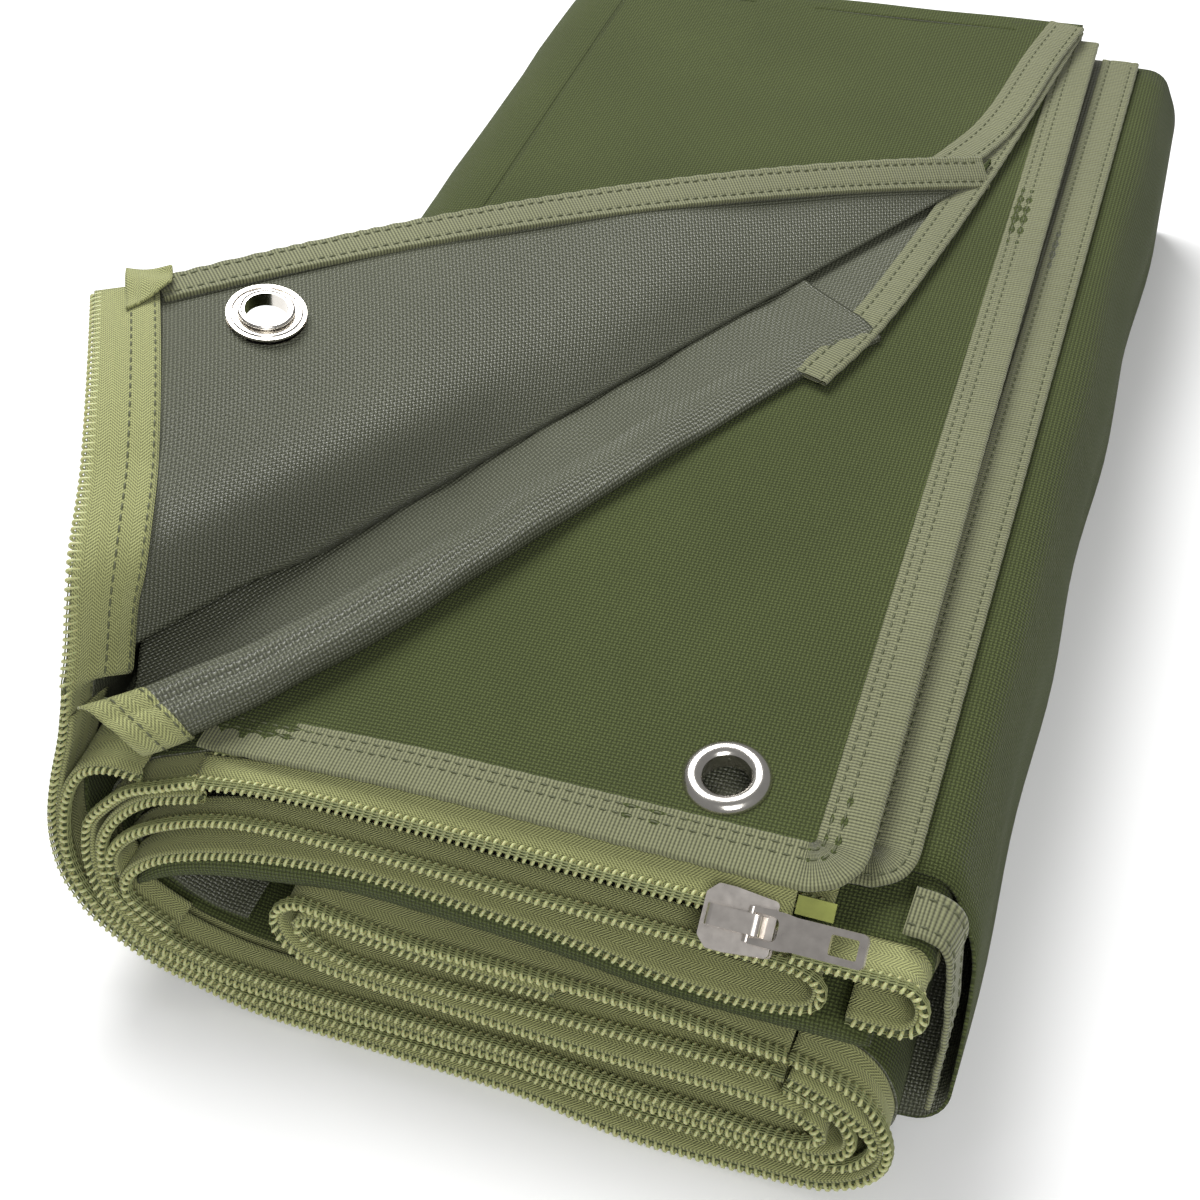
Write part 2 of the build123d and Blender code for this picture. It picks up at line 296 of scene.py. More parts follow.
finishes = {
    "canvasWoven": ("plainWeave", {
        "colour": (0.096, 0.118, 0.038), "roughness": 0.85, "depth": 0.8, "patches": 0.3, "fuzz": 0.5,
        "bump": 1.0, "relief": 0.4, "weave": {"Pitch": 1.05},
        "fixed": {"Sheen_Weight": 0.05, "Sheen_Roughness": 0.5, "Specular_IOR_Level": 0.15}}),
    "canvasCoated": ("plainWeave", {
        "colour": (0.150, 0.158, 0.108), "roughness": 0.38, "depth": 0.75, "patches": 0.25, "fuzz": 0.25,
        "bump": 1.0, "relief": 0.4, "weave": {"Pitch": 1.1}, "fixed": {"Specular_IOR_Level": 0.5}}),
    "bindingRibbed": ("ribbedTape", {
        "colour": (0.255, 0.265, 0.140), "roughness": 0.75, "depth": 0.75, "patches": 0.25, "fuzz": 0.45,
        "bump": 1.0, "relief": 0.3, "weave": {"Pitch": 0.95},
        "fixed": {"Sheen_Weight": 0.15, "Specular_IOR_Level": 0.3}}),
    "zipTapeTwill": ("herringbone", {
        "colour": (0.46, 0.48, 0.20), "roughness": 0.7, "depth": 0.75, "patches": 0.2, "fuzz": 0.4,
        "bump": 1.0, "relief": 0.25, "weave": {"Pitch": 0.95, "Band": 2.6},
        "fixed": {"Sheen_Weight": 0.1, "Specular_IOR_Level": 0.3}}),
}
materials = {name: wovenMaterial(name, weave, look) for name, (weave, look) in finishes.items()}


def plainMaterial(name, colour, roughness, noiseScale, noiseAmount, bump=0.0, **fixed):
    material, tree, shader = newMaterial(name, roughness, **fixed)
    noise = addNode(tree, "TexNoise")
    noise.inputs["Scale"].default_value = noiseScale
    noise.inputs["Detail"].default_value = 3
    wire(tree, addNode(tree, "TexCoord").outputs["Object"], noise.inputs["Vector"])
    tone = useGroup(tree, "clothToneAndThreadShade", Colour=(*colour, 1), Height=noise.outputs["Fac"], Depth=noiseAmount,
                    Patches=0.12, Fuzz=0.1)
    wire(tree, tone.outputs["Color"], shader.inputs["Base Color"])
    rough = calc(tree, "ADD", roughness - 0.06, calc(tree, "MULTIPLY", noise.outputs["Fac"], 0.12))
    wire(tree, rough, shader.inputs["Roughness"])
    if bump:
        addBump(tree, shader, noise.outputs["Fac"], bump, 0.1 * mm)
    return material


materials["coilNylon"] = plainMaterial("coilNylon", (0.50, 0.52, 0.24), 0.34, 900, 0.25, Specular_IOR_Level=0.5,
                                       Subsurface_Weight=0.08, Subsurface_Scale=0.0015)
materials["coilCord"] = plainMaterial("coilCord", (0.07, 0.085, 0.03), 0.8, 900, 0.3)
materials["zipThread"] = plainMaterial("zipThread", (0.24, 0.26, 0.10), 0.6, 1500, 0.4)
materials["stitchThread"] = plainMaterial("stitchThread", (0.105, 0.115, 0.055), 0.6, 1500, 0.3)
materials["nickelPlate"] = plainMaterial("nickelPlate", (0.70, 0.67, 0.62), 0.2, 260, 0.1, Metallic=1.0)
materials["diecastNickel"] = plainMaterial("diecastNickel", (0.72, 0.67, 0.62), 0.3, 420, 0.12, bump=0.08,
                                           Metallic=1.0)
materials["springSteel"] = plainMaterial("springSteel", (0.5, 0.49, 0.47), 0.35, 420, 0.2, Metallic=1.0)
materials["endFilm"] = plainMaterial("endFilm", (0.30, 0.33, 0.08), 0.18, 300, 0.3, bump=0.15, Coat_Weight=0.6)
print("materials made:", len(materials))


# mesh helpers

def addMesh(name, points, faces, material, place=None, smooth=True):
    mesh = bpy.data.meshes.new(name)
    points = np.asarray(points, float).reshape(-1, 3) * mm
    mesh.from_pydata(points.tolist(), [], [tuple(f) for f in np.asarray(faces).tolist()])
    if place is not None:
        layer = mesh.uv_layers.new(name="cloth")
        loops = np.zeros(len(mesh.loops), int)
        mesh.loops.foreach_get("vertex_index", loops)
        layer.data.foreach_set("uv", np.asarray(place, np.float32).reshape(-1, 2)[loops].ravel())
    mesh.polygons.foreach_set("use_smooth", [smooth] * len(mesh.polygons))
    for one in material if isinstance(material, (list, tuple)) else [material]:
        mesh.materials.append(materials[one])
    thing = bpy.data.objects.new(name, mesh)
    bpy.context.scene.collection.objects.link(thing)
    return thing


def flatPlace(first, second):
    # where each point of a grid lies on the flat cloth
    return np.stack(np.meshgrid(first, second, indexing="ij"), -1)


def gridFaces(rows, columns, firstPoint=0):
    i, j = np.meshgrid(np.arange(rows - 1), np.arange(columns - 1), indexing="ij")
    a = (i * columns + j).ravel() + firstPoint
    return np.stack([a, a + columns, a + columns + 1, a + 1], 1)


def clothSheet(name, grid, place, material, thickness=None):
    # one ply of cloth from a grid of points on its middle surface; of two materials, the first faces its normals
    sheet = addMesh(name, grid, gridFaces(*grid.shape[:2]), material, place)
    solid = sheet.modifiers.new("thickness", "SOLIDIFY")
    solid.thickness = (thickness or bundle["clothThickness"]) * mm
    solid.offset = 0
    if isinstance(material, (list, tuple)):
        solid.material_offset = 1
        solid.material_offset_rim = 0
    return sheet


def tubes(lines, radius, sides, ups):
    # tubes round several lines of points, with rounded-off ends where the radius is a list
    points, faces, count = [], [], 0
    angles = np.arange(sides) * 2 * math.pi / sides
    for line, upward in zip(lines, ups):
        along = unit(np.gradient(line, axis=0))
        side = unit(np.cross(along, upward))
        top = np.cross(side, along)
        size = np.broadcast_to(np.asarray(radius, float), (len(line),))[:, None, None]
        ring = side[:, None] * np.cos(angles)[None, :, None] + top[:, None] * np.sin(angles)[None, :, None]
        points.append((line[:, None] + ring * size).reshape(-1, 3))
        i, j = np.meshgrid(np.arange(len(line) - 1), np.arange(sides), indexing="ij")
        a, b = (i * sides + j).ravel() + count, (i * sides + (j + 1) % sides).ravel() + count
        faces.append(np.stack([a, b, b + sides, a + sides], 1))
        count += len(line) * sides
    return np.concatenate(points), np.concatenate(faces)


def finishPiece(piece, body, slot, *nodes):
    if body:
        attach(piece, body)
    if nodes:
        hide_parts(*nodes)
    return piece


# zip coil, tape and stitching, each laid along an edge line

coil = {"pitch": 2.14, "strand": 0.48, "halfWidth": 1.72, "halfHeight": 0.74, "turnPoints": 12, "sides": 6,
        "outward": 2.2, "offset": 0.15, "threadRadius": 0.2, "threadRows": (-0.75, -0.1, 0.55), "cordRadius": 0.62}


class EdgeLine:
    # a cloth edge as points, with the direction into the cloth and the cloth's normal at each
    def __init__(self, points, inward, normal):
        self.points, self.along = points, lengthsAlong(points)
        self.inward, self.normal = unit(inward), unit(normal)

    def at(self, where, inwards=0.0, outOf=0.0):
        p, i, n = (readAlong(v, self.along, where) for v in (self.points, self.inward, self.normal))
        return p + unit(i) * np.asarray(inwards)[..., None] + unit(n) * np.asarray(outOf)[..., None]

    def normalAt(self, where):
        return unit(readAlong(self.normal, self.along, where))

    def inwardAt(self, where):
        return unit(readAlong(self.inward, self.along, where))


def addCoil(name, edge, side, body, nodes, start=0.0, end=None):
    end = edge.along[-1] if end is None else end
    turns = int((end - start) / coil["pitch"])
    angle = np.arange(turns * coil["turnPoints"] + 1) / coil["turnPoints"] * 2 * math.pi
    where = start + angle / (2 * math.pi) * coil["pitch"]
    c, s = np.cos(angle), np.sin(angle)
    across = coil["halfWidth"] * np.sign(c) * np.abs(c) ** 0.7
    height = coil["halfHeight"] * np.sign(s) * np.abs(s) ** 0.8 * (1 - 0.16 * np.exp(-(across / 0.6) ** 2))
    line = edge.at(where, -coil["outward"] - across, side * (coil["offset"] + height))
    upward = unit(edge.inwardAt(where) * -across[:, None] + edge.normalAt(where) * side * height[:, None] * 1.6)
    points, faces = tubes([line], coil["strand"], coil["sides"], [upward])
    strand = addMesh(name, points, faces, "coilNylon")
    finishPiece(strand, body, "zip_coil", *nodes)
    steps = np.linspace(start, end, int((end - start) / 0.7) + 2)
    wave = 0.1 * np.cos(steps / coil["pitch"] * 2 * math.pi)
    crown = coil["halfHeight"] + coil["strand"] * 0.9
    rows = [edge.at(steps, -coil["outward"] + row, side * (coil["offset"] + crown + wave))
            for row in coil["threadRows"]]
    normals = edge.normalAt(steps) * side
    points, faces = tubes(rows, coil["threadRadius"], 5, [normals] * len(rows))
    sewing = finishPiece(addMesh(name + "_sewing", points, faces, "zipThread"), body, "zip_tape")
    middle = edge.at(steps, -coil["outward"], side * coil["offset"])
    points, faces = tubes([middle], coil["cordRadius"], 8, [normals])
    cord = finishPiece(addMesh(name + "_cord", points, faces, "coilCord"), body, "zip_coil")
    return [strand, sewing, cord]


tape = {"outer": -2.9, "lift": 1.4, "thickness": 0.75, "columns": 11}


def addTape(name, edge, side, body, nodes, start=0.0, end=None, width=None):
    # the flat tape lies on the cloth's far side from the coil
    end = edge.along[-1] if end is None else end
    width = width or bundle["tapeWidth"]
    where = np.linspace(start, end, max(3, int((end - start) / 2.0)))
    across = np.linspace(tape["outer"], width, tape["columns"])
    grid = np.stack([edge.at(where, a, -side * tape["lift"]) for a in across], 1)
    piece = clothSheet(name, grid, flatPlace(where, across), "zipTapeTwill", tape["thickness"])
    return finishPiece(piece, body, "zip_tape", *nodes)


stitch = {"length": 2.5, "gap": 0.7, "radii": [0.16, 0.26, 0.28, 0.26, 0.16], "dip": [-0.35, 0.1, 0.2, 0.1, -0.35],
          "sides": 6}


def addStitches(name, rows, body, slot="binding", material="stitchThread"):
    # rows of (points, normals): each stitch dips into the cloth at both ends
    lines, ups, period = [], [], stitch["length"] + stitch["gap"]
    bend = np.array(stitch["dip"])
    for points, normals in rows:
        along = lengthsAlong(points)
        for k in range(int((along[-1] - stitch["length"]) / period) + 1):
            at = k * period + stitch["length"] * np.linspace(0, 1, 5)
            n = unit(readAlong(normals, along, at))
            lines.append(readAlong(points, along, at) + n * bend[:, None])
            ups.append(n)
    points, faces = tubes(lines, stitch["radii"], stitch["sides"], ups)
    return finishPiece(addMesh(name, points, faces, material), body, slot)


# the folded runs of cloth, each with its zip tape and coil along the front

folds = {
    "outer_fold": {
        "corners": [(-84.5, 80.7), (-117, 80.7), (-119, 1.4), (115, 1.4), (115, 31), (90, 32)],
        "radii": [30, 32, 14.5, 14], "side": -1, "begin": 9.0,
        "front": [(-103.8, 86), (-106, 73), (-109.5, 60), (-111.2, 50), (-111, 42), (-109.2, 35), (-106, 28.5),
                  (-101.5, 21), (-94, 13.8), (-85, 9), (-73, 5.7), (-60, 3), (-43, 2), (0, 1.6), (43, 1.3), (69, 1.6), (95, 3),
                  (103, 4.8), (109.5, 8.6), (113, 13), (114.3, 18), (113.8, 22.5), (112, 27), (109, 31.2),
                  (104, 34.6), (96, 37.1), (88.6, 38.6)]},
    "second_fold": {
        "corners": [(-84.5, 78.1), (-112, 78.1), (-114.5, 5.4), (111, 5.4), (111, 27.2), (90, 28)],
        "radii": [27, 28, 10.6, 10.4], "side": 1, "begin": 0.0,
        "front": [(-84, 67), (-92, 67.2), (-98, 66), (-102.5, 63.3), (-106.3, 57), (-108, 49), (-107.8, 41), (-105, 33),
                  (-100, 25.5), (-93, 18.5), (-84, 12.5), (-72, 8.5), (-60, 6), (-43, 5.5), (0, 5.8), (26, 7.3),
                  (43, 8.6), (69, 8.8), (94, 9.3), (102, 9.9), (107.5, 13), (110.8, 17.8), (110.8, 21.5), (107, 25.5),
                  (102, 28.7), (97, 30.9), (89, 33)]},
    "third_fold": {
        "corners": [(-72.2, 75.5), (-106, 75.5), (-109, 9.4), (106.5, 9.4), (106.5, 23.4), (90, 23.9)],
        "radii": [28, 26, 6.8, 6.6], "side": -1, "begin": 2.0,
        "front": [(-66, 70), (-71, 68.3), (-79, 65.4), (-88, 62), (-94.5, 57), (-100, 51), (-101.3, 45), (-101, 39),
                  (-99, 33), (-96, 27), (-91.5, 20.5), (-85, 15.5), (-72, 11.8), (-60, 9.6), (-42, 9.2), (-13, 9.8),
                  (26, 11.4), (43, 12.3), (69, 12), (94, 11.5), (100.5, 12.8), (105, 16.5), (105.3, 21), (102, 25.6),
                  (94, 28.5), (88, 30)]},
    "fourth_fold": {
        "corners": [(-72.2, 69.1), (-101, 69.1), (-104.5, 13.4), (84, 13.4)],
        "radii": [24, 22], "side": 1, "begin": 0.0, "tape": 7.0,
        "front": [(-66, 66), (-70, 64.8), (-82, 61), (-91, 54.6), (-96, 47.6), (-97, 40.5), (-95, 34), (-91, 28.5),
                  (-85, 23.5), (-79, 19.7), (-71, 16.7), (-60, 14.2), (-42, 13.4), (-13, 14.2), (26, 15), (48, 15.6),
                  (68, 15.3), (84, 14.2), (93, 14.6), (97.8, 17), (97.3, 20.3), (93, 22.6)]},
    "loop_fold": {
        "corners": [(-58, 18.4), (-99.5, 18.4), (-98.5, 56), (-60, 60.5), (96, 60.5), (96, 50), (-60, 55),
                    (-93.5, 51.5), (-94, 23.4), (-64, 23.4)],
        "radii": [16, 16, 60, 5.1, 5.1, 60, 12, 12], "side": 1, "begin": 36.0, "tape": 7.0,
        "front": [(-62, 19.5), (-71, 21), (-80, 25.3), (-88, 31.3), (-93, 37), (-94.2, 42.3), (-90.5, 48), (-82, 53.5),
                  (-67, 59), (-50, 61.8), (-23, 62.6), (14, 62.4), (50, 62.4), (79, 62.4), (88, 61.8), (93, 59.3),
                  (93.3, 55.5), (89, 52.3), (75, 50.5), (56, 51.3), (35, 54), (10, 55.7), (-12, 56.6), (-30, 56.3),
                  (-50, 53.8), (-66, 50.3), (-79, 45.8), (-87, 40.6), (-90.2, 36), (-89.3, 31.5), (-84, 27.8),
                  (-77, 24)]},
    "core_outer": {
        "corners": [(88, 32), (-4, 39.5), (-50, 42.5), (-50, 20), (-10, 20), (86, 18.6)], "radii": [60, 10, 10, 60],
        "side": -1, "begin": 0.0,
        "front": [(88, 38.7), (77, 39.4), (67, 40.4), (46, 41.4), (15, 41.2), (-1, 40.9), (-14, 41.1), (-28, 42.3),
                  (-38, 43.3), (-43, 42.2), (-46, 39), (-45.3, 34.4), (-41, 30), (-34, 27.4), (-23, 26), (-1, 25.1),
                  (26, 24.5), (48, 25), (68, 25.8), (80, 25.8), (88, 24.6), (93, 22.8)]},
    "core_inner": {
        "corners": [(88, 28), (-4, 35.4), (-46, 38.2), (-46, 24.4), (-10, 24.2), (44, 23.6)], "radii": [60, 6, 6, 60],
        "side": 1, "begin": 0.0,
        "front": [(30, 37.6), (0, 38), (-17, 39), (-28, 39.6), (-36, 39.9), (-39.5, 38), (-38.6, 35.4), (-34, 33),
                  (-28, 31.3), (-20, 30.3), (0, 30.6), (26, 31.8), (52, 32.8), (77, 33.4), (88, 33.2)]},
    "rear_loop": {
        "corners": [(86, 64.5), (117, 64.5), (117, 53), (100, 53)], "radii": [5.6, 5.6], "side": 1, "begin": 0.0},
}
foldCloth = {"deep": 0.405, "from": 9.0, "lift": 0.55, "ripple": 0.35, "rippleSize": 60.0, "columns": 34,
             "settled": 70.0}       # deep is in metres, from front to back
setback = {"most": 6.2, "level": 34.0, "over": 32.0, "rightShare": 0.5, "rightFrom": 15.0, "rightOver": 40.0}


def smoothStep(x):
    x = np.clip(x, 0, 1)
    return x * x * (3 - 2 * x)


def setbackAt(x, z):
    # the front stops leaning near the ground, mostly at the left
    less = 1 - setback["rightShare"] * smoothStep((x - setback["rightFrom"]) / setback["rightOver"])
    return setback["most"] * smoothStep((setback["level"] - z) / setback["over"]) * less


def frontEdgeLine(route, behind):
    # a cloth edge along the leaning front plane, set behind it by so much
    across = unit(np.gradient(route, axis=0))
    points = np.stack([route[:, 0], frontAt(route[:, 1]) + behind, route[:, 1]], 1)
    normal = np.stack([-across[:, 1], np.zeros(len(route)), across[:, 0]], 1)
    along = unit(np.gradient(points, axis=0))
    inward = np.cross(normal, along)
    inward *= np.sign(inward[:, 1:2])
    return EdgeLine(points, inward, normal)


def alike(route, count):
    # the same number of evenly spaced points for any route
    along = lengthsAlong(route)
    return readAlong(route, along, np.linspace(0, along[-1], count))


def foldGrid(edge, rear, side, seed):
    # cloth from the slack front edge back to the flat, even folds behind
    share = np.linspace(0, 1, foldCloth["columns"]) ** 1.6
    front = edge.points[:, 1] + foldCloth["from"]
    ys = front[:, None] + (bundle["backLine"] - front)[:, None] * share[None, :]
    settle = smoothStep((ys - front[:, None]) / foldCloth["settled"])[..., None]
    across = unit(np.gradient(rear, axis=0))
    rearNormal = np.stack([-across[:, 1], across[:, 0]], 1)
    flat = edge.points[:, [0, 2]][:, None] * (1 - settle) + rear[:, None] * settle
    normal = unit(edge.normal[:, [0, 2]][:, None] * (1 - settle) + rearNormal[:, None] * settle)
    grid = np.stack([flat[..., 0], ys, flat[..., 1]], -1)
    wave = ripple(grid, foldCloth["ripple"], foldCloth["rippleSize"], seed) * share[None, :] ** 0.5
    wave -= side * foldCloth["lift"]
    grid[..., 0] += normal[..., 0] * wave
    grid[..., 2] += normal[..., 1] * wave
    return grid, np.stack([np.repeat(edge.along[:, None], len(share), 1), ys], -1)


for number, (name, fold) in enumerate(folds.items()):
    rear = roundedRoute(fold["corners"], fold["radii"], 2.0)
    route = alike(smoothCurve(fold["front"], 1.0), len(rear)) if "front" in fold else rear
    edge, side = frontEdgeLine(route, setbackAt(*route.T)), fold["side"]
    if name == "outer_fold":
        outerEdge = edge
    grid, place = foldGrid(edge, rear, side, 10 + number)
    faces = ["canvasWoven", "canvasCoated"] if side > 0 else ["canvasCoated", "canvasWoven"]
    sheet = clothSheet(name + "_canvas", grid, place, faces)
    finishPiece(sheet, "bundle", "canvas_woven_side", name + "_cloth")
    zipPieces = addCoil(name + "_coil", edge, side, "bundle", [name + "_zip_coil"], fold["begin"])
    zipPieces.append(addTape(name + "_tape", edge, side, "bundle", [name + "_zip_tape"], fold["begin"],
                             width=fold.get("tape")))
print("folded runs made:", len(folds))


# flat panels, bindings and the turned corner

binding = {"width": 13.0, "thickness": 1.7, "rows": (8.0, 10.8), "pucker": 0.14, "puckerLength": 6.5,
           "columns": 14}


def addBinding(name, edge, body, nodes, rows=None, start=0.0, end=None, width=None, seed=1, thickness=None):
    # ribbed tape folded over the cloth's edge, puckered by its stitches
    end = edge.along[-1] if end is None else end
    width = width or binding["width"]
    rows = binding["rows"] if rows is None else rows
    half = (thickness or binding["thickness"]) / 2
    where = np.linspace(start, end, max(3, int((end - start) / 1.1)))
    inwards = np.concatenate([[0.0, 0.15, 0.6], np.linspace(1.4, width - 0.2, binding["columns"]), [width]])
    heights = np.concatenate([[0.0, 0.55, 0.9], np.ones(binding["columns"]), [0.55]]) * half
    for row in rows:
        heights = heights - 0.22 * np.exp(-((inwards - row) / 0.7) ** 2)
    inwards = np.concatenate([inwards, inwards[::-1]])
    heights = np.concatenate([heights, -heights[::-1]])
    rng = np.random.default_rng(seed)
    drift = np.interp(where, np.linspace(start, end, 30), rng.random(30) * 6.283)
    wave = binding["pucker"] * np.sin(where * 2 * math.pi / binding["puckerLength"] + drift)
    grid = np.stack([edge.at(where, a + 0.25 * wave, h + wave * (0.25 + 0.75 * (1 - a / width)))
                     for a, h in zip(inwards, heights)], 1)
    piece = addMesh(name, grid, gridFaces(*grid.shape[:2]), "bindingRibbed", flatPlace(where, inwards))
    finishPiece(piece, body, "binding", *nodes)
    ends = [piece]
    if rows:
        lines = []
        for row in rows:
            for sign in (1, -1):
                height = sign * (half - 0.16) + wave * 0.6
                points = edge.at(where, row, 0) + edge.normalAt(where) * height[:, None]
                lines.append((points, edge.normalAt(where) * sign))
        ends.append(addStitches(name + "_stitches", lines, body))
    return ends


def flatEdge(points, level, inwardSign=1):
    # a level edge: inward is to the left of its direction when inwardSign is 1
    p = np.array(points, float)
    along = unit(np.gradient(p, axis=0))
    points = np.stack([p[:, 0], p[:, 1], np.broadcast_to(level, (len(p),))], 1)
    inward = np.stack([-along[:, 1], along[:, 0], np.zeros(len(p))], 1) * inwardSign
    return EdgeLine(points, inward, np.tile(up, (len(p), 1)))


sag = {"depth": 4.0, "acrossFrom": 5.0, "acrossOver": 75.0, "frontFrom": -95.0, "frontOver": 88.0}


def sagAt(x, y):
    # the upper panels drop towards the front left, where the folds below are slack
    return -sag["depth"] * smoothStep((-x - sag["acrossFrom"]) / sag["acrossOver"]) * \
        smoothStep((sag["frontFrom"] - y) / sag["frontOver"])


def removeRound(sheet, centre, radius):
    # opens the cloth inside an eyelet
    mesh = bmesh.new()
    mesh.from_mesh(sheet.data)
    centre = Vector(centre) * mm
    gone = [f for f in mesh.faces if any((v.co - centre).length < radius * mm for v in f.verts)]
    bmesh.ops.delete(mesh, geom=gone, context="FACES")
    mesh.to_mesh(sheet.data)
    mesh.free()


def panelSheet(name, xs, ys, level, faces, seed, amount=0.3, sagging=True):
    x, y = np.meshgrid(xs, ys, indexing="ij")
    grid = np.stack([x, y, np.full(x.shape, level)], -1)
    grid[..., 2] += ripple(grid, amount, 70, seed)
    if sagging:
        grid[..., 2] += sagAt(x, y)
    return clothSheet(name, grid, np.stack([x, y], -1), faces)


def levelCloth(name, left, rightAt, ys, columns, level, wave, seed, faces):
    # a flat panel between a straight left side and a right edge given at each y
    x = left + (rightAt[:, None] - left) * np.linspace(0, 1, columns)[None, :]
    y = np.repeat(ys[:, None], columns, 1)
    grid = np.stack([x, y, np.full(x.shape, level)], -1)
    grid[..., 2] += ripple(grid, *wave, seed)
    return clothSheet(name, grid, np.stack([x, y], -1), faces)


third = {"left": -72.0, "front": -179.0, "right": 98.0, "rightBack": 93.0, "corner": 14.0, "level": 75.5,
         "back": 204.0}
eyeletMiddle = (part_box("third_eyelet")[0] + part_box("third_eyelet")[1]) / 2 / mm
xs, ys = np.linspace(third["left"], 92.0, 68), np.linspace(third["front"] + 5, third["back"], 152)
sheet = panelSheet("third_panel_canvas", xs, ys, third["level"], ["canvasWoven", "canvasCoated"], 31, 0.22)
removeRound(sheet, (eyeletMiddle.x, eyeletMiddle.y, third["level"]), 7.0)
finishPiece(sheet, "bundle", "canvas_woven_side", "third_panel_cloth")
edgePoints = roundedRoute([(third["left"], third["front"]), (third["right"], third["front"]),
                           (third["rightBack"], third["back"])], [third["corner"]], 1.2)
edge = flatEdge(edgePoints, third["level"])
edge.points[:, 2] += sagAt(edge.points[:, 0], edge.points[:, 1])
bound = addBinding("third_panel_binding_tape", edge, "bundle", ["third_panel_binding"], seed=3)

fourth = {"left": -72.0, "front": -169.5, "right": 108.0, "level": 69.1, "back": 204.0, "corner": 12.0}
xs = np.linspace(fourth["left"], fourth["right"] - 6, 50)
ys = np.linspace(fourth["front"] + 2, fourth["back"], 60)
sheet = panelSheet("fourth_panel_canvas", xs, ys, fourth["level"], ["canvasCoated", "canvasWoven"], 41, 0.2, False)
finishPiece(sheet, "bundle", "canvas_woven_side", "fourth_panel_cloth")
edgePoints = roundedRoute([(fourth["right"] - 34, fourth["front"]), (fourth["right"], fourth["front"]),
                           (fourth["right"], fourth["back"])], [fourth["corner"]], 1.2)
bound = addBinding("fourth_panel_binding_tape", flatEdge(edgePoints, fourth["level"]), "bundle",
                   ["fourth_panel_binding"], rows=(2.6, 10.4), seed=4)
print("third and fourth panels made")

# the third panel's own zip, with its slider at the right
thirdZip = {"line": [(-70, -187.6, 68.6), (-46, -185.6, 70.2), (-10, -185, 70.6), (40, -185, 70.5),
                     (84, -185, 70.5)], "tapeWidth": 6.4}
line = smoothCurve(thirdZip["line"], 1.0)
slope = np.radians(12 + 18 * smoothStep((line[:, 0] + 60) / 50))      # lies flatter at the slack left end
inward = np.stack([0 * slope, np.cos(slope), np.sin(slope)], 1)
normal = np.stack([0 * slope, -np.sin(slope), np.cos(slope)], 1)
edge = EdgeLine(line + inward * coil["outward"], inward, normal)
addCoil("third_panel_coil", edge, 1, "bundle", ["third_panel_zip_coil"])
addTape("third_panel_tape", edge, 1, "bundle", ["third_panel_zip_tape"], width=thirdZip["tapeWidth"])


# second panel: its corner is tucked under along a diagonal, as a soft roll

roll = {"line": [(-88, -193), (-74, -181), (-57, -162), (-34, -131), (-1, -72), (38, -8), (57, 16)], "reach": 62.0,
        "crestFront": 16.0, "crestBack": 2.6, "base": 76.8, "slant": 11.0, "slantOver": 25.0, "tapeFrom": 12.0,
        "tapeMore": 4.0}
rollLine = smoothCurve(roll["line"], 2.0)
rollAlong = lengthsAlong(rollLine)
rollHeading = unit(rollLine[-1] - rollLine[0])
rollAcross = np.array([-rollHeading[1], rollHeading[0]])


def rollPoint(t, s, lift=0.0):
    # t along the fold, s over the cloth from the fold; s below zero is tucked underneath
    t, s = np.broadcast_arrays(np.asarray(t, float), np.asarray(s, float))
    base = readAlong(rollLine, rollAlong, t.ravel()).reshape(*t.shape, 2)
    crest = roll["crestFront"] + (roll["crestBack"] - roll["crestFront"]) * smoothStep(t / rollAlong[-1])
    edgeRadius = crest * 0.36 + lift
    bend = np.clip(s / (math.pi * crest * 0.36), 0, 1)
    angle = -math.pi / 2 + bend * math.pi
    onArc = s < math.pi * crest * 0.36
    rest = s - math.pi * crest * 0.36
    h = np.where(onArc, crest * 0.36 - edgeRadius * np.cos(angle), crest * 0.36 + rest)
    hump = crest * 0.28 * np.sin(np.clip(rest / 12, 0, 1) * math.pi)
    hump = hump + (2.9 - crest * 0.72) * smoothStep(rest / 15)
    z = np.where(onArc, crest * 0.36 + edgeRadius * np.sin(angle), crest * 0.72 + lift + hump)
    h = np.where(s < 0, crest * 0.36 - s, h)
    z = np.where(s < 0, -lift, z)
    point = np.concatenate([base + rollAcross * h[..., None], (roll["base"] + z)[..., None]], -1)
    point[..., 2] += sagAt(point[..., 0], point[..., 1])
    return point


def rollStart(s):
    # the cloth's front edge runs round the roll aslant
    return roll["slant"] * (1 - np.clip(s, 0, None) / roll["slantOver"])


ss = np.concatenate([np.linspace(-9, 0, 5), np.linspace(0.6, 24, 30), np.linspace(25, roll["reach"], 18)])
share, s = np.meshgrid(np.linspace(0, 1, 130), ss, indexing="ij")
s = np.where(s > 24, 24 + (s - 24) * smoothStep(share / 0.2), s)        # narrow where it enters the left side
t = rollStart(s) + 2.9 + (rollAlong[-1] - rollStart(s) - 2.9) * share
grid = rollPoint(t, s)
grid[..., 2] += ripple(grid, 0.5, 30, 51) * smoothStep(s / 6)
sheet = clothSheet("second_panel_canvas", grid, np.stack([t, s], -1), ["canvasCoated", "canvasWoven"])
finishPiece(sheet, "bundle", "canvas_coated_side", "second_panel_cloth", "second_panel_roll")
share, s = np.meshgrid(np.linspace(0, 1, 14), np.linspace(-6, 25, 44), indexing="ij")
tapeWide = roll["tapeFrom"] + roll["tapeMore"] * s / roll["slantOver"]
t = rollStart(s) + tapeWide * share
tapeOnRoll = clothSheet("second_panel_tape", rollPoint(t, s, 0.75), np.stack([s, t - rollStart(s)], -1),
                        "zipTapeTwill", 0.7)
finishPiece(tapeOnRoll, "bundle", "zip_tape")
rows = []
fine = np.linspace(0.5, 30, 90)
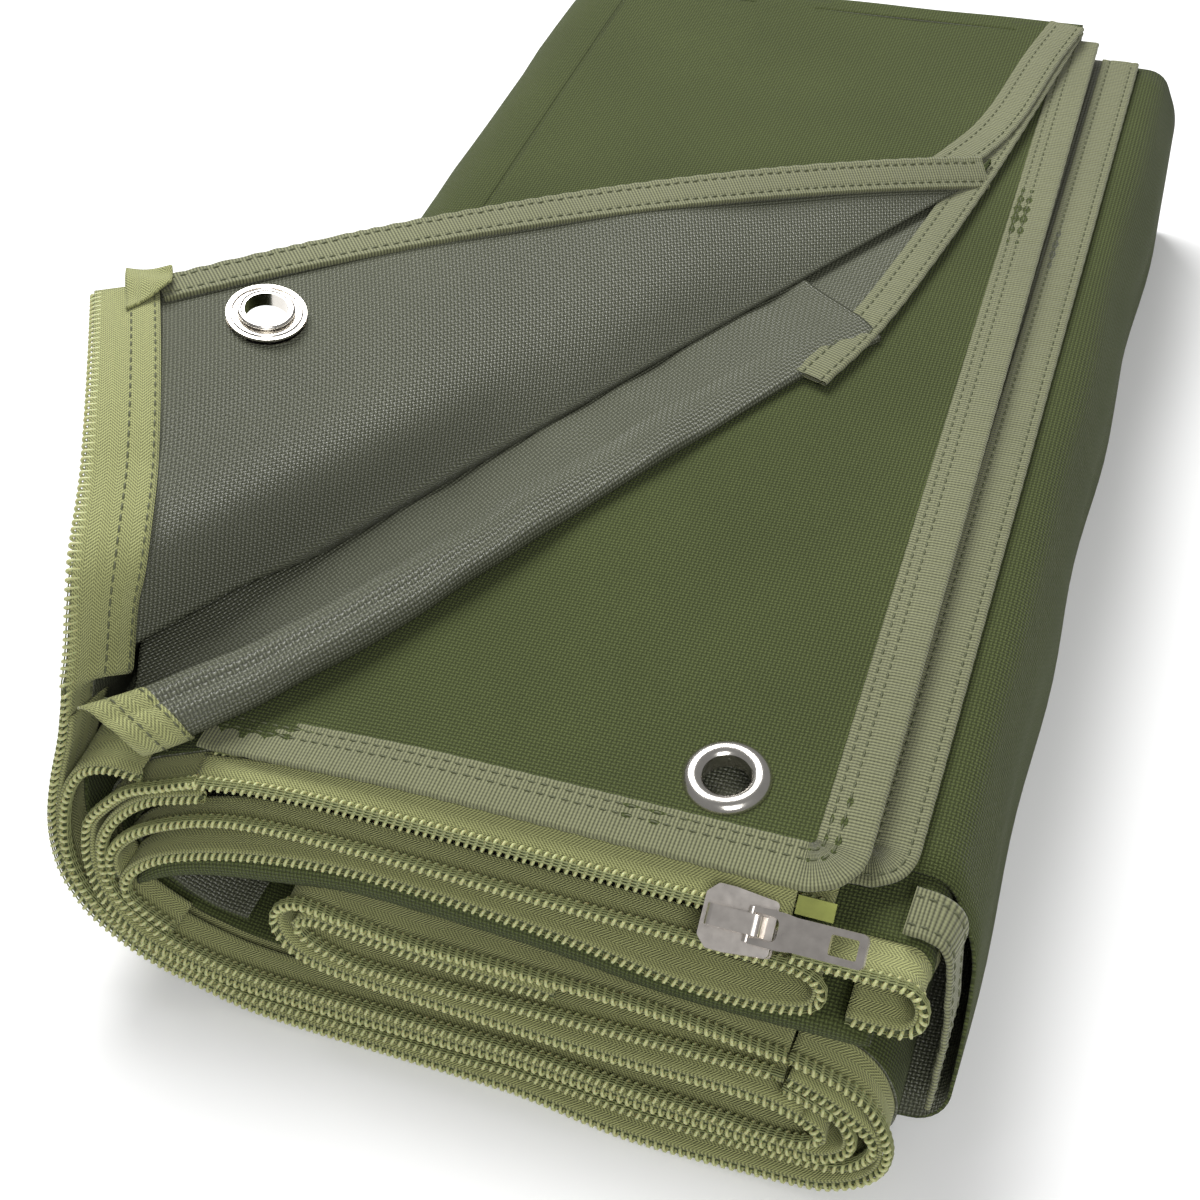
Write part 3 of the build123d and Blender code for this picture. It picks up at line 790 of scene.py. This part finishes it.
for depth in (0.42, 0.92):
    t = rollStart(fine) + (roll["tapeFrom"] + roll["tapeMore"] * fine / roll["slantOver"]) * depth
    points = rollPoint(t, fine, 1.15)
    rows.append((points, unit(points - rollPoint(t, fine, 0.2))))
rollSewing = addStitches("second_panel_tape_stitches", rows, "bundle", "zip_tape")

# its bound right edge, up to the back
secondEdge = {"line": [(47, -10), (56, 16), (64, 52), (74, 110), (87, 204)], "level": 79.0, "width": 11.5,
              "left": -84.0, "clothLevel": 77.9, "clothInside": 8}
edge = flatEdge(smoothCurve(secondEdge["line"], 1.2), secondEdge["level"])
secondBound = addBinding("second_panel_binding_tape", edge, "bundle", ["second_panel_binding"], rows=(2.2, 8.6),
                         width=secondEdge["width"], seed=6)
ys = np.linspace(20, 204, 60)
rightAt = np.interp(ys, *np.array(secondEdge["line"], float).T[::-1]) - secondEdge["clothInside"]
back = levelCloth("second_panel_back_canvas", secondEdge["left"], rightAt, ys, 50, secondEdge["clothLevel"],
                  (0.2, 70), 52, ["canvasWoven", "canvasCoated"])
finishPiece(back, "bundle", "canvas_coated_side")
print("second panel made")


# top panel and its turned-over corner

corner = {"hingeFront": (-104, -177, 86), "hingeBack": (74, 115, 81.6), "tip": (-143, -76, 125),
          "zipPull": (-98, -150, 131), "boundPull": (-34, 34, 115), "bulge": (2.0, -4.0, 3.5),
          "zipLength": 150.0, "boundLength": 290.0}
hingeFront, hingeBack, tip, zipPull, boundPull, cornerBulge = (
    np.array(corner[k], float) for k in ("hingeFront", "hingeBack", "tip", "zipPull", "boundPull", "bulge"))


def cornerPoint(front, back):
    front, back = (np.asarray(v, float)[..., None] for v in np.broadcast_arrays(front, back))
    free = 1 - front - back
    pulls = (hingeFront + hingeBack) * front * back + (zipPull * front + boundPull * back) * 2 * free
    across = np.clip(free / (0.55 * (free + front) + 1e-6), 0, 1)
    bulge = np.sin(math.pi * across) ** 2 * smoothStep(1 - back / 0.5)
    return hingeFront * front**2 + hingeBack * back**2 + tip * free**2 + pulls + cornerBulge * bulge


def cornerNormal(front, back):
    # towards the woven side, underneath
    e = 0.004
    alongFront = cornerPoint(front + e, back) - cornerPoint(front - e, back)
    alongBack = cornerPoint(front, back + e) - cornerPoint(front, back - e)
    return unit(np.cross(alongBack, alongFront))


def cornerBlend(piece):
    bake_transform(piece)


def cornerEdge(fronts, backs, towards):
    # an edge line on the corner, its normal on the woven side
    points = cornerPoint(fronts, backs)
    normal = cornerNormal(fronts, backs)
    along = unit(np.gradient(points, axis=0))
    inward = np.cross(normal, along)
    return EdgeLine(points, inward * np.sign((inward * towards).sum(1, keepdims=True)), normal)


# canvas of the corner, from the zip edge to the bound edge, down past the hinge line
rowsBack = np.concatenate([[0.02], np.linspace(0.03, 0.985, 116)])
shares = np.linspace(0, 1, 64)
back, share = np.meshgrid(rowsBack, shares, indexing="ij")
front = 0.02 + (1 - back - 0.02) * share
grid = cornerPoint(front, back)
normal = cornerNormal(front, back)
free = 1 - front - back
grid = grid + normal * (0.45 + ripple(grid, 0.55, 55, 61) * smoothStep(free * 6))[..., None]
place = np.stack([front * corner["zipLength"], back * corner["boundLength"]], -1)

# past the hinge line the cloth turns under and runs back to the flat panel
turns = []
hinge = grid[:, -1]
leaving = unit(grid[:, -1] - grid[:, -3])
lowEdge = np.stack([np.interp(rowsBack, [0, 1], [-92.0, 68.0]), np.interp(rowsBack, [0, 1], [-150.0, 112.0]),
                    np.full(len(rowsBack), 80.7)], 1)
wallDepth = hinge[:, 1] - frontAt(86)
settle = smoothStep((wallDepth - foldCloth["from"]) / foldCloth["settled"])
wallTop = np.stack([-103.8 + 19.3 * settle, hinge[:, 1], 86 - 5.3 * settle], 1)
onPanel = smoothStep((rowsBack - 0.11) / 0.08)[:, None]
lowEdge = wallTop * (1 - onPanel) + lowEdge * onPanel
out = np.array([0.85, -0.52, 0.0]) * onPanel + np.array([-0.1, 0.0, 0.6]) * (1 - onPanel)
for t in np.linspace(0, 1, 9)[1:]:
    c1, c2 = hinge + leaving * (1 + 4 * onPanel), lowEdge + out * (1 + 5.5 * onPanel)
    turns.append(hinge * (1 - t) ** 3 + c1 * 3 * t * (1 - t) ** 2 + c2 * 3 * t * t * (1 - t) + lowEdge * t**3)
grid = np.concatenate([grid, np.stack(turns, 1)], 1)
extra = place[:, -1:, :] + np.linspace(1.5, 12, 8)[None, :, None] * np.array([1.0, 0.0])
place = np.concatenate([place, extra], 1)
flap = clothSheet("corner_canvas", grid, place, ["canvasWoven", "canvasCoated"])
eyelet = (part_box("corner_eyelet")[0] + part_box("corner_eyelet")[1]) / 2 / mm
removeRound(flap, tuple(eyelet), 7.6)
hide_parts("corner_cloth")
cornerBlend(flap)

# tape and coil of its zip edge, then its binding
fronts = np.linspace(0.0, 1.0, 90)
edge = cornerEdge(fronts, np.zeros(90), np.array([0.6, 0.6, -0.5]))
wall = np.linspace(3.0, 10.0, 6)         # the same zip runs on down the left wall
edge = EdgeLine(np.concatenate([edge.points, outerEdge.at(wall)]),
                np.concatenate([edge.inward, outerEdge.inwardAt(wall)]),
                np.concatenate([edge.normal, -outerEdge.normalAt(wall)]))
cornerPieces = addCoil("corner_coil", edge, 1, None, ["corner_zip_coil"])
where = np.linspace(0, edge.along[-1], 80)
across = np.linspace(-2.9, 15, 12)
grid = np.stack([edge.at(where, a, -0.5) for a in across], 1)
tapePiece = clothSheet("corner_tape", grid, flatPlace(where, across), "zipTapeTwill", tape["thickness"])
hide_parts("corner_zip_tape")
rows = [(edge.at(where, a, -0.9), -edge.normalAt(where)) for a in (7.2, 13.6)]
cornerPieces += [tapePiece, addStitches("corner_tape_stitches", rows, None, "zip_tape")]
backs = np.linspace(0.045, 0.97, 130)
edge = cornerEdge(np.zeros(130), backs, np.array([0.5, -0.8, 0.0]))
cornerPieces += addBinding("corner_binding_tape", edge, None, ["corner_binding"], rows=(2.6, 9.6), seed=7,
                           width=12.0)
for piece in cornerPieces:
    cornerBlend(piece)

# the flat rest of the top panel
top = {"level": 80.7, "left": -84.0, "front": -134, "back": 204.0,
       "rightAt": ([-134, 89, 124, 204], [-84.0, 52.0, 66.0, 80.0]),
       "binding": [(57, 89), (65.5, 106), (72.5, 124), (77.5, 145), (82, 178), (87, 204)]}
ys = np.linspace(top["front"], top["back"], 130)
flat = levelCloth("top_panel_canvas", top["left"], np.interp(ys, *top["rightAt"]), ys, 56, top["level"],
                  (0.35, 80), 71, ["canvasCoated", "canvasWoven"])
finishPiece(flat, "bundle", "canvas_woven_side", "top_panel_cloth")
line = smoothCurve(top["binding"], 1.2)
edge = flatEdge(line, top["level"] + 0.9 * smoothStep((130 - line[:, 1]) / 20))
bound = addBinding("top_panel_binding_tape", edge, "bundle", ["top_panel_binding"], rows=(2.4, 9.8), seed=8)
print("top panel and corner made")


# foot end: doubled green cloth whose fold faces the front

foot = {"left": -88.0, "right": 106.0,
        "top": [(-88, 36.5), (-80, 43), (-66, 48), (-50, 51.4), (-30, 54), (-12, 54.6), (10, 53.6), (35, 51.6),
                (56, 49.2), (75, 48.6), (95, 49.4), (102, 48.6), (106, 46.5)],
        "bottom": [(-88, 33.5), (-74, 38.2), (-62, 40.6), (-45, 43.2), (-28, 45.6), (-1, 45.4), (26, 44.8),
                   (51, 43.2), (76, 42.5), (98, 42.6), (104, 43.8), (106, 45.6)],
        "behind": 2.5, "nose": 3.0}
xs = np.linspace(foot["left"], foot["right"], 90)
zTop, zBottom = (np.interp(xs, *smoothCurve(foot[k]).T) for k in ("top", "bottom"))
angle = np.linspace(math.pi / 2, -math.pi / 2, 13)
profile = []
middle, half = (zTop + zBottom) / 2, (zTop - zBottom) / 2
frontEdge = frontAt(middle) + foot["behind"]
for depth in np.linspace(1, 0, 12) ** 1.5:
    y = frontEdge + (bundle["backLine"] - frontEdge) * depth
    profile.append(np.stack([xs, y, zTop], 1))
for a in angle[1:-1]:
    profile.append(np.stack([xs, frontEdge - foot["nose"] * np.cos(a), middle + half * np.sin(a)], 1))
for depth in np.linspace(0, 1, 12) ** 1.5:
    y = frontEdge + (bundle["backLine"] - frontEdge) * depth
    profile.append(np.stack([xs, y, zBottom], 1))
grid = np.stack(profile, 1)
grid[..., 2] += ripple(grid, 0.5, 60, 81)
down = lengthsAlong(grid[45])
footSheet = clothSheet("foot_end_canvas", grid, flatPlace(xs, down), ["canvasCoated", "canvasWoven"])
finishPiece(footSheet, "bundle", "canvas_woven_side", "foot_end_cloth")
print("foot end made")


# right side, the doubled back, and the fourth panel's zip

rightSide = {"corners": [(94, 67.6), (117, 66.6), (124.5, 50), (125, 2.4), (112, 1.2)], "radii": [9, 30, 9],
             "behind": 26, "ripple": 0.8, "rippleSize": 75}
sideRoute = roundedRoute(rightSide["corners"], rightSide["radii"], 2.0)
across = unit(np.gradient(sideRoute, axis=0))
share = np.linspace(0, 1, 40)
front = frontAt(sideRoute[:, 1]) + rightSide["behind"]
ys = front[:, None] + (bundle["backLine"] - front)[:, None] * share[None, :]
grid = np.stack([np.repeat(sideRoute[:, :1], 40, 1), ys, np.repeat(sideRoute[:, 1:], 40, 1)], -1)
wave = ripple(grid, rightSide["ripple"], rightSide["rippleSize"], 91)
grid[..., 0] -= across[:, 1:] * wave
grid[..., 2] += across[:, :1] * wave * 0.4
place = np.stack([np.repeat(lengthsAlong(sideRoute)[:, None], 40, 1), ys], -1)
sideSheet = finishPiece(clothSheet("right_side_canvas", grid, place, ["canvasWoven", "canvasCoated"]), "bundle",
                        "canvas_woven_side", "right_side_cloth")
boundEnd = {"corners": [(108.5, 67.6), (119.6, 66.6), (122, 44), (121, 24)], "radii": [7, 50], "behind": 8}
edge = frontEdgeLine(roundedRoute(boundEnd["corners"], boundEnd["radii"], 1.0), boundEnd["behind"])
bound = addBinding("right_side_binding_tape", edge, "bundle", ["right_side_binding"], rows=(2.6, 10.4), seed=9)

backFolds = {
    "top_back_fold_outer": (68.6, 81.2, -80, 86), "top_back_fold_inner": (75.0, 78.6, -80, 86),
    "base_back_fold_outer": (0.9, 13.9, -80, 84), "base_back_fold_inner": (4.9, 9.9, -80, 84),
}
for number, (name, (low, high, left, right)) in enumerate(backFolds.items()):
    radius = (high - low) / 2 - 0.5
    angle = np.linspace(-math.pi / 2, math.pi / 2, 15)
    bend = np.stack([radius * np.cos(angle), radius * np.sin(angle)], 1)
    run = np.stack([np.linspace(-7, -1, 4), np.full(4, radius)], 1)
    profile = np.concatenate([run * [1, -1], bend, run[::-1]])
    down = lengthsAlong(profile)
    xs = np.linspace(left, right, 70)
    grid = np.stack([np.repeat(xs[:, None], len(profile), 1),
                     np.tile(bundle["backLine"] - 0.4 + profile[:, 0], (70, 1)),
                     np.tile((low + high) / 2 + profile[:, 1], (70, 1))], -1)
    wave = ripple(grid, 0.4, 45, 120 + number) * np.clip(profile[:, 0], 0, 1)
    grid[..., 1] += wave
    piece = clothSheet(name + "_canvas", grid, flatPlace(xs, down), ["canvasCoated", "canvasWoven"])
    finishPiece(piece, "bundle", "canvas_woven_side", name)

fourthZip = {"left": -68, "right": 92, "level": 68.4, "behind": 11, "tapeWidth": 6.0}
xs = np.linspace(fourthZip["left"], fourthZip["right"], 90)
points = np.stack([xs, np.full(90, frontAt(fourthZip["level"]) + fourthZip["behind"]),
                   np.full(90, fourthZip["level"])], 1)
edge = EdgeLine(points, np.tile([0.0, 1.0, 0.0], (90, 1)), np.tile(up, (90, 1)))
addCoil("fourth_panel_coil", edge, 1, "bundle", ["fourth_panel_zip_coil"])
addTape("fourth_panel_tape", edge, 1, "bundle", ["fourth_panel_zip_tape"], width=fourthZip["tapeWidth"])

# the spare end of the corner's zip tape, folded over on itself
tailCentre = cornerPoint(0.03, 0.03)
tailNormal = -cornerNormal(np.array([0.03]), np.array([0.03]))[0]
tailAlong = unit(cornerPoint(0.0, 0.03) - cornerPoint(0.12, 0.03))
tailIn = np.cross(tailNormal, tailAlong)
tailIn *= np.sign(tailIn @ (cornerPoint(0.0, 0.1) - cornerPoint(0.0, 0.0)))
u, v = np.meshgrid(np.linspace(-1, 1, 16), np.linspace(0, 1, 14), indexing="ij")
along = u * (9.5 - 5.5 * v) + 1.5 * v
lift = 2.0 + 1.8 * v + 0.8 * np.sin(u * 3 + v * 4)
grid = tailCentre + tailAlong * along[..., None] + tailIn * (v * 13 - 3)[..., None] + tailNormal * lift[..., None]
tail = clothSheet("corner_tape_end_fold", grid, np.stack([along, v * 15], -1), "zipTapeTwill", 0.8)
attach(tail, "top_corner")
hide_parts("corner_tape_end")
print("sides and back made")


# metal parts and the stop end keep their CAD solids, with their own finishes

cadFinish = {"slider_body": "diecastNickel", "slider_crown": "diecastNickel", "pull_tab": "diecastNickel",
             "insertion_pin": "diecastNickel", "lock_spring": "springSteel", "third_eyelet": "nickelPlate",
             "corner_eyelet": "nickelPlate", "third_eyelet_washer": "nickelPlate",
             "corner_eyelet_washer": "nickelPlate", "tape_end_film": "endFilm"}
for name, finish in cadFinish.items():
    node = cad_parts[name]
    node.data.materials.clear()
    node.data.materials.append(materials[finish])


# stage

camera = bpy.data.objects.new("camera", bpy.data.cameras.new("camera"))
bpy.context.scene.collection.objects.link(camera)
camera.location = (0.1390, -0.3972, 0.4108)
camera.rotation_euler = Euler([math.radians(a) for a in (43.315, 3.963, 19.591)])
camera.data.lens = 52.5
camera.data.sensor_width = 36
camera.data.clip_start = 0.01
bpy.context.scene.camera = camera
bpy.context.scene.view_settings.view_transform = "Standard"

floorSize = 3.0
floor = bpy.data.meshes.new("floor")
floor.from_pydata([(-floorSize, -floorSize, 0), (floorSize, -floorSize, 0), (floorSize, floorSize, 0),
                   (-floorSize, floorSize, 0)], [], [(0, 1, 2, 3)])
floorThing = bpy.data.objects.new("floor", floor)
bpy.context.scene.collection.objects.link(floorThing)
floorMaterial, tree, shader = newMaterial("paleFloor", 0.9, Base_Color=(0.92, 0.92, 0.92, 1))
floor.materials.append(floorMaterial)

world = bpy.data.worlds.new("studio")
bpy.context.scene.world = world
world.use_nodes = True
world.node_tree.nodes["Background"].inputs["Color"].default_value = (1, 1, 1, 1)
world.node_tree.nodes["Background"].inputs["Strength"].default_value = 0.27

lamps = {
    "overhead": {"at": (-0.40, 0.45, 1.0), "size": 0.7, "power": 17},
    "front": {"at": (0.5, -0.9, 0.9), "size": 0.6, "power": 9},
}
for name, lamp in lamps.items():
    light = bpy.data.lights.new(name, "AREA")
    light.size = lamp["size"]
    light.energy = lamp["power"]
    thing = bpy.data.objects.new(name, light)
    bpy.context.scene.collection.objects.link(thing)
    thing.location = lamp["at"]
    thing.rotation_euler = (Vector((0, 0, 0.04)) - Vector(lamp["at"])).to_track_quat("-Z", "Y").to_euler()
